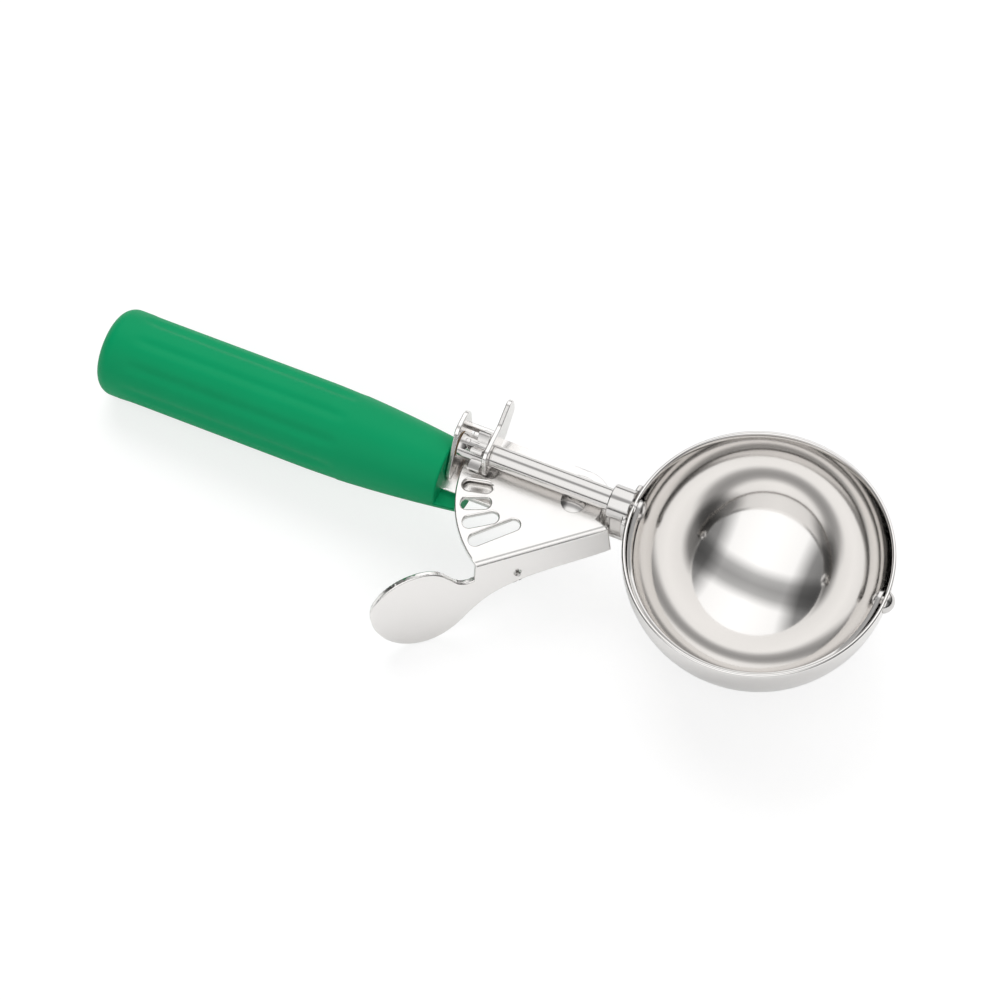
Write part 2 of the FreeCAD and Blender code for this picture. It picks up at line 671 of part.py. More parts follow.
# The pivot rivet runs through lever, washers, frame and spring
coil_radius = size("pivot_pin_dia") / 2 + size("coil_wire_dia") / 2 + size("seat_gap")
coil_top = frame_bottom - size("seat_gap") - size("coil_wire_dia") / 2
coil_bottom = coil_top - size("coil_turns") * size("coil_pitch")
spring_seat = coil_bottom - size("coil_wire_dia") / 2 - size("seat_gap")
washer_t = lever_bottom - frame_top - 2 * size("running_clearance")
pin_top = lever_top + size("running_clearance")
pin_low = spring_seat - sheet_t
pivot_rivet = post(pivot, pin_low, pin_top, size("pivot_pin_dia")).fuse([
    head(V(pivot.x, pivot.y, level), V(0, 0, side), size("pivot_head_dia"), size("pivot_head_height"))
    for level, side in ((pin_top, 1), (pin_low, -1))
])
shaped("pivot_rivet", pivot_rivet.removeSplitter())


def washer(label, low, thick, dia):
    """A flat ring on the pivot rivet."""
    bore = post(pivot, low - 1, low + thick + 1, size("pivot_pin_dia"))
    return shaped(label, post(pivot, low, low + thick, dia).cut(bore))


washer("pivot_washer", frame_top, washer_t, size("pivot_washer_dia"))
washer("spring_washer", pin_low, sheet_t, 2 * coil_radius + 2 * size("coil_wire_dia"))

# The pinion: six tapered teeth that reach into the sector's slots, and a hub for its cross pin
teeth_end = front_ear_x - size("seat_gap")
teeth_start = teeth_end - size("tooth_length")
hub_start = rear_ear_x + size("seat_gap")
core_dia = size("pinion_core_dia")
tip_radius = size("tooth_tip_radius")
pinion_solid = rod_along_x(hub_start, teeth_end, core_dia)
tooth_root = core_dia / 2 - 0.4
root_half = size("tooth_root_width") / 2
tip_half = size("tooth_tip_width") / 2
tooth_wire = rounded_wire(
    [
        V(teeth_start, -root_half, -tooth_root), V(teeth_start, -tip_half, -tip_radius),
        V(teeth_start, tip_half, -tip_radius), V(teeth_start, root_half, -tooth_root),
    ],
    [0, tip_half * 0.7, tip_half * 0.7, 0],
)
tooth = Part.Face(tooth_wire).extrude(V(size("tooth_length"), 0, 0))
for index in range(int(size("tooth_count"))):
    one = tooth.copy()
    one.rotate(V(0, 0, 0), V(1, 0, 0), 360 / size("tooth_count") * (index + 0.5))
    pinion_solid = pinion_solid.fuse(one)
pinion_solid = pinion_solid.cut(rod_along_x(hub_start - 1, teeth_end + 1, size("rod_dia")))
pin_x = (hub_start + teeth_start) / 2
cross_pin = Part.makeCylinder(size("cross_pin_dia") / 2, core_dia, V(pin_x, 0, -core_dia / 2), V(0, 0, 1))
shaped("pinion", pinion_solid.cut(cross_pin).removeSplitter())
shaped("pinion_pin", cross_pin.common(rod_along_x(hub_start, teeth_end, core_dia)))

# The scraper: a thin strip bent to the inside of the bowl, with round ends on the spindle line
blade_outer = inner_radius - size("scraper_gap")
blade_inner = blade_outer - size("scraper_thickness")
blade_half = size("scraper_width") / 2
blade_end_half = size("tip_pin_dia")
lune = Part.Face(Part.makePolygon([
    V(-outer_radius, 0, 0), V(-outer_radius, blade_half, -blade_outer),
    V(-outer_radius, -blade_half, -blade_outer), V(-outer_radius, 0, 0),
])).extrude(V(2 * outer_radius, 0, 0))
blade_zone = slab((-outer_radius, -blade_end_half, -outer_radius), (outer_radius, blade_end_half, 0))
blade_zone = blade_zone.fuse([lune, rod_along_x(-outer_radius, outer_radius, 2 * blade_end_half)])
blade = Part.makeSphere(blade_outer).cut(Part.makeSphere(blade_inner)).common(blade_zone)
blade = blade.cut(rod_along_x(-outer_radius, 0, size("tenon_dia")))
tip_bore = size("tip_pin_dia") + 2 * size("running_clearance")
blade = blade.cut(rod_along_x(0, outer_radius, tip_bore))
blade.rotate(V(0, 0, 0), V(1, 0, 0), size("scraper_rest_angle") - 90)
shaped("scraper_blade", blade.removeSplitter())

# The rod: turns in the bush and the tube, its thin end is riveted over the blade
rod_radius = size("rod_dia") / 2
shoulder_x = -math.sqrt(blade_outer ** 2 - rod_radius ** 2)
tenon_end = -math.sqrt(blade_inner ** 2 - size("tip_head_dia") ** 2 / 4)
rod = rod_along_x(rear_ear_x - sheet_t, shoulder_x, size("rod_dia"))
rod = rod.fuse(rod_along_x(shoulder_x - 1, tenon_end, size("tenon_dia")))
rod = rod.fuse(head(V(tenon_end, 0, 0), V(1, 0, 0), size("tip_head_dia"), size("tenon_head_height")))
shaped("spindle_rod", rod.cut(cross_pin).cut(blade).removeSplitter())

# The tip rivet: pressed in the bowl's far wall, the blade turns on its shank
tip_seat = math.sqrt(outer_radius ** 2 - size("tip_head_dia") ** 2 / 4)
tip_inner = math.sqrt(blade_inner ** 2 - size("tip_head_dia") ** 2 / 4) - 2 * size("running_clearance")
tip = head(V(outer_radius, 0, 0), V(1, 0, 0), size("tip_head_dia"), size("tip_head_height"))
tip = tip.fuse(rod_along_x(tip_seat, outer_radius, size("tip_head_dia")))
tip = tip.cut(bowl_outside.cut(rod_along_x(0, 2 * outer_radius, size("tip_pin_dia"))))
tip = tip.fuse(rod_along_x(tip_inner, tip_seat, size("tip_pin_dia")))
tip = tip.fuse(
    head(V(tip_inner, 0, 0), V(-1, 0, 0), size("tip_inner_head_dia"), size("tenon_head_height"))
)
shaped("tip_rivet", tip.removeSplitter())


def arc_between(start, heading, end):
    """The arc that leaves a point along a heading and ends at another point, or a line."""
    chord = end - start
    forward = V(heading).normalize()
    side = chord - forward * chord.dot(forward)
    if side.Length < 1e-7:
        return Part.LineSegment(start, end).toShape()
    side.normalize()
    half_turn = math.atan2(chord.dot(side), chord.dot(forward))
    radius = chord.Length / 2 / math.sin(half_turn)
    rise = radius * (1 - math.cos(half_turn))
    middle = start + forward * radius * math.sin(half_turn) + side * rise
    return Part.Arc(start, middle, end).toShape()


def biarc(start, heading, end, end_heading):
    """Two arcs that join smoothly and run from one point and heading to another."""
    chord = end - start
    total = V(heading) + V(end_heading)
    bend_share = 2 * (1 - heading.dot(end_heading))
    reach = chord.dot(total)
    if bend_share < 1e-9:
        distance = chord.dot(chord) / (2 * reach)
    else:
        distance = (math.sqrt(reach ** 2 + bend_share * chord.dot(chord)) - reach) / bend_share
    joint = (start + heading * distance + end - end_heading * distance) * 0.5
    first = arc_between(start, heading, joint)
    second = arc_between(end, end_heading * -1, joint)
    return [first, second]


# The return spring: a coil round the pivot rivet under the frame. One leg turns up into the
# frame's small hole, the other goes out through the hole in the lever's flange.
wire_dia = size("coil_wire_dia")
turns = size("coil_turns")
START_ANGLE = math.radians(150)


def coil_point(share):
    """A point and heading on the coil's middle line, share 0 at the top and 1 at the bottom."""
    angle = START_ANGLE + 2 * math.pi * turns * share
    point = V(
        pivot.x + coil_radius * math.cos(angle),
        pivot.y + coil_radius * math.sin(angle),
        coil_top - turns * size("coil_pitch") * share,
    )
    drop = size("coil_pitch") / (2 * math.pi * coil_radius)
    return point, V(-math.sin(angle), math.cos(angle), -drop).normalize()


quarters = int(turns * 4)
spring_edges = []
hole_point = V(pivot.x - size("spring_hook_x"), pivot.y + size("spring_hook_y"), frame_top - tang_gap)
hook = V(hole_point.x, hole_point.y, frame_bottom)
spring_edges.append(Part.LineSegment(hole_point, hook).toShape())
first_point, first_heading = coil_point(0)
spring_edges += biarc(hook, V(0, 0, -1), first_point, first_heading)
for index in range(quarters):
    here, heading = coil_point(index / quarters)
    following, next_heading = coil_point((index + 1) / quarters)
    spring_edges += biarc(here, heading, following, next_heading)
last_point, last_heading = coil_point(1)
leg_end = leg_exit + face_normal * wire_dia
spring_edges += biarc(last_point, last_heading, leg_end - face_normal * 4 * wire_dia, face_normal)
spring_edges.append(Part.LineSegment(leg_end - face_normal * 4 * wire_dia, leg_end).toShape())
spring_path = Part.Wire(Part.__sortEdges__(spring_edges))
wire_section = Part.Wire(Part.Circle(hole_point, V(0, 0, 1), wire_dia / 2).toShape())
spring_solid = spring_path.makePipeShell([wire_section], True, False)
shaped("return_spring", spring_solid)
expected = math.pi * wire_dia ** 2 / 4 * spring_path.Length
print("spring volume", round(spring_solid.Volume, 2), "expected", round(expected, 2))
samples = spring_path.discretize(Distance=0.4)
half_turn_steps = int(math.pi * coil_radius / 0.4)
least = min(
    (samples[i] - samples[j]).Length
    for i in range(len(samples))
    for j in range(i + half_turn_steps, len(samples))
)
print("spring least gap to itself", round(least - wire_dia, 3))

# Laying the scoop down: the table touches the bowl, the butt and the pad
# The table's normal is (a, b, 1) before its length is made 1.
butt_x = handle_shoulder_x - size("handle_length") + size("butt_round") * 0.3
butt = V(butt_x, size("handle_offset_y"), size("handle_offset_z"))
butt_radius = (size("handle_dia") - size("butt_round") * 0.6) / 2
pad_edge_points = curve.discretize(60)
a, b = 0.08, 0.0
for step in range(40):
    length = math.sqrt(a * a + b * b + 1)
    normal = V(a, b, 1) / length
    butt_low = normal.dot(butt) - butt_radius * math.sqrt(1 - normal.x ** 2)
    pad_low = min(pad_edge_points, key=normal.dot)
    a += (butt_low + outer_radius) / -butt.x
    b += (normal.dot(pad_low) + outer_radius) / -pad_low.y * 0.6
normal = V(a, b, 1).normalize()
print("pad above the table", round(normal.dot(pad_low) + outer_radius, 4))
upright = FreeCAD.Rotation(normal, V(0, 0, 1))
forward = upright.multVec(V(1, 0, 0))
square = FreeCAD.Rotation(V(0, 0, 1), -math.degrees(math.atan2(forward.y, forward.x)))
turn = square.multiply(upright)
box = FreeCAD.BoundBox()
for thing in finished:
    shape = thing.Shape.copy()
    shape.Placement = FreeCAD.Placement(V(0, 0, 0), turn).multiply(shape.Placement)
    box.add(shape.optimalBoundingBox(False, False))
shift = V(-box.Center.x, -box.Center.y, -box.ZMin)
lay = FreeCAD.Placement(shift, turn)
print("box", round(box.XLength, 2), round(box.YLength, 2), round(box.ZLength, 2), "lay", lay)
for thing in finished:
    thing.Placement = lay.multiply(thing.Placement)
doc.recompute()

failed = [item.Name for item in doc.Objects if "Invalid" in item.State or "Error" in item.State]
failed += [item.Label for item in finished if item.Shape.isNull() or not item.Shape.isValid()]
if failed:
    raise RuntimeError("these objects failed: " + ", ".join(failed))
for thing in finished:
    thing.Shape.exportStep("parts/" + thing.Label + ".step")
print(len(finished), "pieces written")
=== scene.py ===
# %% [markdown]
# A lever ice cream scoop, lying on a pale table. The working parts come ready made and
# packed, at their real size and in their real places. This lesson dresses them: every
# surface that the eye meets is made again as a fine mesh, or given its real finish.

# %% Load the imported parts
import bpy
import bmesh
import json
import math
import numpy as np
from mathutils import Matrix, Vector

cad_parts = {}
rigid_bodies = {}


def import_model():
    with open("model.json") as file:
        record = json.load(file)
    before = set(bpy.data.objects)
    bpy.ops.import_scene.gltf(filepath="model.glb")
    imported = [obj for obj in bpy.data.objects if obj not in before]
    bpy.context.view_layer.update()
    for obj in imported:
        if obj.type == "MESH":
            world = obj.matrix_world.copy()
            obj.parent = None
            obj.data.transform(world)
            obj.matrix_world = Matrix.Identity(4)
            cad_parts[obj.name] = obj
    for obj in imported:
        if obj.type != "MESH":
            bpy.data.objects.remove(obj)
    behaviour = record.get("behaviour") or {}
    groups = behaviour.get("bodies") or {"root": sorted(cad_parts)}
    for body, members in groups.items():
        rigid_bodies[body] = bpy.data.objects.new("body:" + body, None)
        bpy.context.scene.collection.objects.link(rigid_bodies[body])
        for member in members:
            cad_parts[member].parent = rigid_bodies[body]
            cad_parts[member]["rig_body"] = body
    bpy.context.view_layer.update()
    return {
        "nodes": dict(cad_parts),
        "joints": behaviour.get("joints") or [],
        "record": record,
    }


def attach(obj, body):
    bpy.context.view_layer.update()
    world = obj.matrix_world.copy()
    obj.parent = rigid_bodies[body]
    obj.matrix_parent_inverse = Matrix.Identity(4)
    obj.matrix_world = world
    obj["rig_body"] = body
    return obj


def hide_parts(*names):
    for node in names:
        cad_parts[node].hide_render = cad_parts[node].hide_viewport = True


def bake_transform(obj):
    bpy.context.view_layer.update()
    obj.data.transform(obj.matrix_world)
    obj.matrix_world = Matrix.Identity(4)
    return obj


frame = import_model()
print("parts loaded:", sorted(frame["nodes"]))

# %% [markdown]
# The scoop lies a little tilted. The end of its handle is on the table, its thumb pad half
# a millimetre above it and its bowl one millimetre. It is much easier to think in the
# tool's own axes: X along the spindle to the bowl's far tip, Z out of the open bowl, Y away
# from the thumb, all from the middle of the ball. The two joints give those axes exactly,
# so the tilt is read from them and never typed in.

# %% The tool's own axes, from its two joints
joints = {joint["name"]: joint for joint in frame["joints"]}
SPIN = joints["scraper_sweep"]
SWING = joints["lever_swing"]
BALL = np.array(SPIN["pos_m"], float)
AXIS_X = np.array(SPIN["axis"], float)
AXIS_Z = -np.array(SWING["axis"], float)
AXIS_Y = np.cross(AXIS_Z, AXIS_X)
TOOL_AXES = np.array([AXIS_X, AXIS_Y, AXIS_Z])
MM = 0.001


def to_table(points_mm):
    """Tool coordinates in millimetres to table coordinates in metres: a turn and a shift."""
    return BALL + (np.asarray(points_mm, float) * MM) @ TOOL_AXES


def to_tool(points_m):
    """The way back: table coordinates in metres to tool coordinates in millimetres."""
    return ((np.asarray(points_m, float) - BALL) @ TOOL_AXES.T) / MM


print("ball centre", BALL.round(4), "tilt of the spindle", round(math.degrees(math.asin(AXIS_X[2])), 2))

# %% [markdown]
# The picture is taken from above and to the right of the thumb side with a long lens, so
# the bowl's rim is nearly round. A camera is a place, a direction and a lens. The place
# follows from the direction, a distance, and which point of the object sits in the middle
# of the frame. The picture was also turned a few degrees in its own plane, so the camera's
# upward direction is given too.

# %% The camera
CAMERA_RIGHT = np.array([0.9125, 0.4066, -0.0454]) @ TOOL_AXES
CAMERA_UP = np.array([-0.3436, 0.8213, 0.4547]) @ TOOL_AXES
CAMERA_BACK = np.cross(CAMERA_RIGHT, CAMERA_UP)
CAMERA_DISTANCE_M = 0.85
PIXELS_PER_MM = 4.091
BALL_PIXEL = np.array([758.3, 554.9])
FRAME_PIXELS = 1000
middle_shift_mm = (FRAME_PIXELS / 2 - BALL_PIXEL) / PIXELS_PER_MM
target = BALL + MM * (middle_shift_mm[0] * CAMERA_RIGHT - middle_shift_mm[1] * CAMERA_UP)
camera_data = bpy.data.cameras.new("camera")
camera_data.sensor_width = 36.0
camera_data.lens = PIXELS_PER_MM / FRAME_PIXELS * camera_data.sensor_width * CAMERA_DISTANCE_M / MM
camera = bpy.data.objects.new("camera", camera_data)
bpy.context.scene.collection.objects.link(camera)
turn = Matrix(np.array([CAMERA_RIGHT, CAMERA_UP, CAMERA_BACK]).T.tolist()).to_4x4()
camera.matrix_world = Matrix.Translation(Vector(target + CAMERA_BACK * CAMERA_DISTANCE_M)) @ turn
bpy.context.scene.camera = camera
print("lens", round(camera_data.lens, 1), "mm, elevation", round(math.degrees(math.asin(CAMERA_BACK[2])), 1))

# %% [markdown]
# Every finish below is a small network of nodes. One helper adds a node, sets its
# properties and sockets, and makes its links, so that each network reads as a short list.

# %% Helpers for colours and node networks


def linear(hex_colour):
    """An sRGB hex colour to the linear values that the renderer works in."""
    parts = np.array([int(hex_colour[i:i + 2], 16) for i in (1, 3, 5)]) / 255
    values = np.where(parts <= 0.04045, parts / 12.92, ((parts + 0.055) / 1.055) ** 2.4)
    return (*values.tolist(), 1.0)


def add(tree, kind, properties=None, **sockets):
    """Adds one node. A socket's value is a number, a colour, or another node's output."""
    node = tree.nodes.new(kind)
    for name, value in (properties or {}).items():
        setattr(node, name, value)
    for name, value in sockets.items():
        socket = node.inputs[int(name[1:])] if name[1:].isdigit() else node.inputs[name.replace("_", " ")]
        if isinstance(value, bpy.types.NodeSocket):
            tree.links.new(value, socket)
        else:
            socket.default_value = value
    return node


def new_material(name):
    """An empty material with its node tree, its shader and its output."""
    material = bpy.data.materials.new(name)
    material.use_nodes = True
    tree = material.node_tree
    tree.nodes.clear()
    shader = add(tree, "ShaderNodeBsdfPrincipled")
    output = add(tree, "ShaderNodeOutputMaterial")
    tree.links.new(shader.outputs[0], output.inputs[0])
    return material, tree, shader


# %% [markdown]
# The table and the room. The floor is plain white. To the camera it is mostly plain white
# light, so that the picture's ground is white, and it keeps part of its real shade, which
# is where the soft shadow shows. Polished steel has no colour of its own, it only shows the
# room, so the room has what a photographer's tent has: two bright sides with a greyer gap
# between them overhead, darker ends, and a dark low horizon. In the bowl they become the
# grey band and the two dark patches, and on the tube the thin dark lines.

# %% Floor, room and lamps
ROOM_LIGHT = 1.35
FLOOR_HALF_M = 3.0
FLOOR_WHITE = 1.12
FLOOR_WHITE_SHARE = 0.62
floor_mesh = bpy.data.meshes.new("floor")
corners = [(-1, -1), (1, -1), (1, 1), (-1, 1)]
floor_mesh.from_pydata([(x * FLOOR_HALF_M, y * FLOOR_HALF_M, 0) for x, y in corners], [], [(0, 1, 2, 3)])
floor = bpy.data.objects.new("floor", floor_mesh)
bpy.context.scene.collection.objects.link(floor)
floor_material = bpy.data.materials.new("white_table")
floor_material.use_nodes = True
tree = floor_material.node_tree
tree.nodes.clear()
path = add(tree, "ShaderNodeLightPath")
paper = add(tree, "ShaderNodeBsdfDiffuse", Color=linear("#f4f4f4"))
white = add(tree, "ShaderNodeEmission", Color=(1, 1, 1, 1), Strength=FLOOR_WHITE)
to_camera = path.outputs["Is Camera Ray"]
share = add(tree, "ShaderNodeMath", {"operation": "MULTIPLY"}, _0=to_camera, _1=FLOOR_WHITE_SHARE)
mixed = add(tree, "ShaderNodeMixShader", Fac=share.outputs[0], _1=paper.outputs[0], _2=white.outputs[0])
add(tree, "ShaderNodeOutputMaterial", Surface=mixed.outputs[0])
floor_mesh.materials.append(floor_material)

world = bpy.data.worlds.new("studio")
bpy.context.scene.world = world
world.use_nodes = True
tree = world.node_tree
tree.nodes.clear()
direction = add(tree, "ShaderNodeTexCoord")
ways = add(tree, "ShaderNodeSeparateXYZ", Vector=direction.outputs["Generated"])


def room_shade(way, shades):
    """A ramp of greys over how far a direction leans one way, from 0 to 1, either sign."""
    lean = add(tree, "ShaderNodeMath", {"operation": "ABSOLUTE"}, _0=ways.outputs[way])
    ramp = add(tree, "ShaderNodeValToRGB", Fac=lean.outputs[0])
    stops = ramp.color_ramp.elements
    stops[0].position, stops[0].color = shades[0][0], linear(shades[0][1])
    stops[1].position, stops[1].color = shades[-1][0], linear(shades[-1][1])
    for position, shade in shades[1:-1]:
        stops.new(position).color = linear(shade)
    return ramp.outputs[0]


HORIZON = ((0, "#303030"), (0.1, "#484848"), (0.24, "#d8d8d8"), (0.4, "#ffffff"), (1, "#ffffff"))
ENDS = ((0, "#ffffff"), (0.5, "#f4f4f4"), (0.7, "#848484"), (1, "#5a5a5a"))
GAP_OVERHEAD = ((0, "#9c9c9c"), (0.14, "#b0b0b0"), (0.3, "#ffffff"), (1, "#ffffff"))
height_shade = room_shade("Z", HORIZON)
end_shade = room_shade("X", ENDS)
side_shade = room_shade("Y", GAP_OVERHEAD)
both = add(tree, "ShaderNodeVectorMath", {"operation": "MULTIPLY"}, _0=height_shade, _1=end_shade)
room = add(tree, "ShaderNodeVectorMath", {"operation": "MULTIPLY"}, _0=both.outputs[0], _1=side_shade)
light = add(tree, "ShaderNodeBackground", Color=room.outputs[0], Strength=ROOM_LIGHT)
plain = add(tree, "ShaderNodeBackground", Color=(1, 1, 1, 1), Strength=1.0)
to_camera = add(tree, "ShaderNodeLightPath").outputs["Is Camera Ray"]
mixed = add(tree, "ShaderNodeMixShader", Fac=to_camera, _1=light.outputs[0], _2=plain.outputs[0])
add(tree, "ShaderNodeOutputWorld", Surface=mixed.outputs[0])


def soft_lamp(name, place, width, watts):
    """A square softbox at a place in metres, aimed at the scoop. Steel does not mirror it."""
    data = bpy.data.lights.new(name, "AREA")
    data.size = width
    data.energy = watts
    lamp = bpy.data.objects.new(name, data)
    lamp.location = place
    lamp.rotation_euler = (LAMP_AIM - Vector(place)).to_track_quat("-Z", "Y").to_euler()
    lamp.visible_glossy = False
    bpy.context.scene.collection.objects.link(lamp)
    print(name, watts, "W")


LAMP_AIM = Vector((0, 0, 0.02))
soft_lamp("key_lamp", (-0.45, 0.55, 0.95), 0.7, 5.0)
soft_lamp("fill_lamp", (0.7, -0.5, 0.8), 0.6, 1.5)
bpy.context.scene.view_settings.view_transform = "Standard"

# %% [markdown]
# The metals. All but the bush are stainless steel; what differs is how it was worked. Spun
# and buffed steel mirrors the room, stamped and tumbled steel blurs it. Fine marks go into
# the bump, and a slow variation into the roughness, as handling leaves them.

# %% Metal finishes


def worked_metal(name, shade, roughness, mark_mm, mark_depth):
    """A bare metal: a metal shader, marks of a real size in millimetres, uneven polish."""
    material, tree, shader = new_material(name)
    place = add(tree, "ShaderNodeTexCoord").outputs["Object"]
    marks = add(tree, "ShaderNodeTexNoise", Vector=place, Scale=1 / (mark_mm * MM), Detail=3.0, Roughness=0.6)
    patches = add(tree, "ShaderNodeTexNoise", Vector=place, Scale=1 / (PATCH_MM * MM), Detail=2.0)
    smoothest, dullest = roughness * 0.8, roughness * 1.25
    uneven = add(tree, "ShaderNodeMapRange", Value=patches.outputs[0], _3=smoothest, _4=dullest)
    height = MARK_HEIGHT_MM * MM
    bump = add(tree, "ShaderNodeBump", Height=marks.outputs[0], Strength=mark_depth, Distance=height)
    tree.links.new(uneven.outputs[0], shader.inputs["Roughness"])
    tree.links.new(bump.outputs[0], shader.inputs["Normal"])
    shader.inputs["Base Color"].default_value = linear(shade)
    shader.inputs["Metallic"].default_value = 1.0
    return material


PATCH_MM = 9
MARK_HEIGHT_MM = 0.02
MATERIALS = {
    # the bowl: nearly a mirror, so that the opening is seen again as a disc at its bottom
    "spun_steel": worked_metal("spun_and_buffed_stainless", "#e6e4e2", 0.07, 0.5, 0.05),
    # the blade: a mirror a little more blurred than the bowl, so that it stands off from it
    "scraper_steel": worked_metal("buffed_stainless_strip", "#dcdad8", 0.12, 0.4, 0.12),
    # tube, rod, rivets and pins: long clear highlights along a round form
    "polished_steel": worked_metal("polished_stainless", "#d6d4d2", 0.13, 0.35, 0.15),
    # lever, frame, bracket and neck: an even pale sheen with no picture of the room in it
    "stamped_steel": worked_metal("stamped_and_tumbled_stainless", "#efedeb", 0.22, 0.3, 0.3),
    # the spring: grey drawn wire, duller than the sheet round it
    "spring_steel": worked_metal("drawn_spring_wire", "#c4c2c0", 0.22, 0.2, 0.3),
    # the bush: a warm ring of pressed metal powder, grainy and dull
    "bronze": worked_metal("sintered_bronze", "#b9925a", 0.35, 0.2, 0.6),
}
print("metals:", len(MATERIALS))

# %% [markdown]
# The handle is injection moulded plastic with a satin mould texture: a weak highlight that
# is spread out, over a saturated green. The grain is a fraction of a millimetre, and the
# green is a little uneven, as pigment in thick plastic is.

# %% Green plastic
GRAIN_MM, GRAIN_HEIGHT_MM, CLOUD_MM = 0.45, 0.02, 22
material, tree, shader = new_material("moulded_green_plastic")
place = add(tree, "ShaderNodeTexCoord").outputs["Object"]
grain = add(tree, "ShaderNodeTexNoise", Vector=place, Scale=1 / (GRAIN_MM * MM), Detail=2.0)
cloud = add(tree, "ShaderNodeTexNoise", Vector=place, Scale=1 / (CLOUD_MM * MM), Detail=2.0)
pigment = add(tree, "ShaderNodeValToRGB", Fac=cloud.outputs[0])
pigment.color_ramp.elements[0].color = linear("#008c58")
pigment.color_ramp.elements[1].color = linear("#00935e")
bump = add(tree, "ShaderNodeBump", Height=grain.outputs[0], Strength=0.25, Distance=GRAIN_HEIGHT_MM * MM)
tree.links.new(pigment.outputs[0], shader.inputs["Base Color"])
tree.links.new(bump.outputs[0], shader.inputs["Normal"])
shader.inputs["Roughness"].default_value = 0.5
shader.inputs["IOR"].default_value = 1.49
shader.inputs["Specular IOR Level"].default_value = 0.12
MATERIALS["green_plastic"] = material

slot_of = {part["node"]: part["material_slot"] for part in frame["record"]["subparts"]}
for node, piece in frame["nodes"].items():
    piece.data.materials.clear()
    piece.data.materials.append(MATERIALS[slot_of[node]])
print("materials:", sorted(MATERIALS))

# %% [markdown]
# From here on each visible piece is made again. A new piece is a grid of points worked out
# in tool millimetres, joined into faces, moved to the table, and tied to the body that it
# moves with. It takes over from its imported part, which stays as the solid for collision.

# %% Helpers for new pieces


def ring_faces(rows, columns):
    """Four-sided faces between the rows of a grid whose columns close into rings."""
    row, column = np.meshgrid(np.arange(rows - 1), np.arange(columns), indexing="ij")
    beside = (column + 1) % columns
    corners = [row * columns + column, row * columns + beside]
    corners += [(row + 1) * columns + beside, (row + 1) * columns + column]
    return np.stack(corners, axis=-1).reshape(-1, 4).tolist()


def fan_faces(centre, ring_start, columns):
    """Triangles from one point to a ring of points, which close a pole."""
    column = np.arange(columns)
    beside = (column + 1) % columns
    return np.stack([np.full(columns, centre), ring_start + column, ring_start + beside], axis=-1).tolist()


def take_over(piece, node, rides=True):
    """The piece moves with its node's body, has its material, and is shown instead of it.
    """
    bpy.context.scene.collection.objects.link(piece)
    if rides:
        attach(piece, frame["nodes"][node]["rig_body"])
    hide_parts(node)
    piece.data.materials.clear()
    piece.data.materials.append(MATERIALS[slot_of[node]])
    print(piece.name, "made from", len(piece.data.polygons), "faces")
    return piece


def new_piece(name, points_mm, faces, node, sharp_angle=40, rides=True):
    """A mesh from tool points in millimetres. Faces turn outward, and only real edges stay sharp."""
    mesh = bpy.data.meshes.new(name)
    mesh.from_pydata(to_table(points_mm).tolist(), [], faces)
    work = bmesh.new()
    work.from_mesh(mesh)
    bmesh.ops.recalc_face_normals(work, faces=work.faces)
    work.to_mesh(mesh)
    work.free()
    mesh.shade_smooth()
    mesh.set_sharp_from_angle(angle=math.radians(sharp_angle))
    return take_over(bpy.data.objects.new(name, mesh), node, rides)


SHORTEST_EDGE_MM, SHARP_DEGREES, EDGE_STEPS = 0.07, 35, 3


def soften(piece, width_mm):
    """Rounds the outward edges that are sharper than an angle, as tumbling does.

    An inward edge stays as it is, and so does the shortest, which would throw out a spike.
    """
    work = bmesh.new()
    work.from_mesh(piece.data)
    weight = work.edges.layers.float.new("bevel_weight_edge")
    for edge in work.edges:
        is_long = edge.calc_length() > SHORTEST_EDGE_MM * MM
        is_sharp = edge.calc_face_angle(0) > math.radians(SHARP_DEGREES)
        edge[weight] = float(is_long and is_sharp and edge.is_convex)
    work.to_mesh(piece.data)
    work.free()
    bevel = piece.modifiers.new("soft_edges", "BEVEL")
    bevel.width = width_mm * MM
    bevel.segments = EDGE_STEPS
    bevel.limit_method = "WEIGHT"
    bevel.use_clamp_overlap = False
    weighted = piece.modifiers.new("flat_faces", "WEIGHTED_NORMAL")
    weighted.keep_sharp = True


# %% [markdown]
# The bowl is spun from one disc of sheet over a half-round former, and the rim is trimmed
# and buffed round. So it is one profile turned about the bowl's axis: up the outside, over
# the rim in a half circle as thick as the wall, and down the inside. Turning is the exact
# form of spinning, which a bent or cut sheet would only come near.

# %% The bowl
OUTER_MM = 33.49
WALL_MM = 1.0
RIM_MM = 2.0
RISE_STEPS, RIM_STEPS = 60, 12
inner_mm = OUTER_MM - WALL_MM
rise = np.radians(np.linspace(-90, 0, RISE_STEPS + 1))
over = np.radians(np.linspace(0, 180, RIM_STEPS + 1))
rim_radius = WALL_MM / 2
bowl_radius = np.concatenate([
    OUTER_MM * np.cos(rise),
    OUTER_MM - rim_radius + rim_radius * np.cos(over),
    inner_mm * np.cos(rise[::-1]),
])
bowl_height = np.concatenate([
    OUTER_MM * np.sin(rise),
    RIM_MM - rim_radius + rim_radius * np.sin(over),
    inner_mm * np.sin(rise[::-1]),
])
BOWL_SEGMENTS = 144
around = np.linspace(0, 2 * math.pi, BOWL_SEGMENTS, endpoint=False)
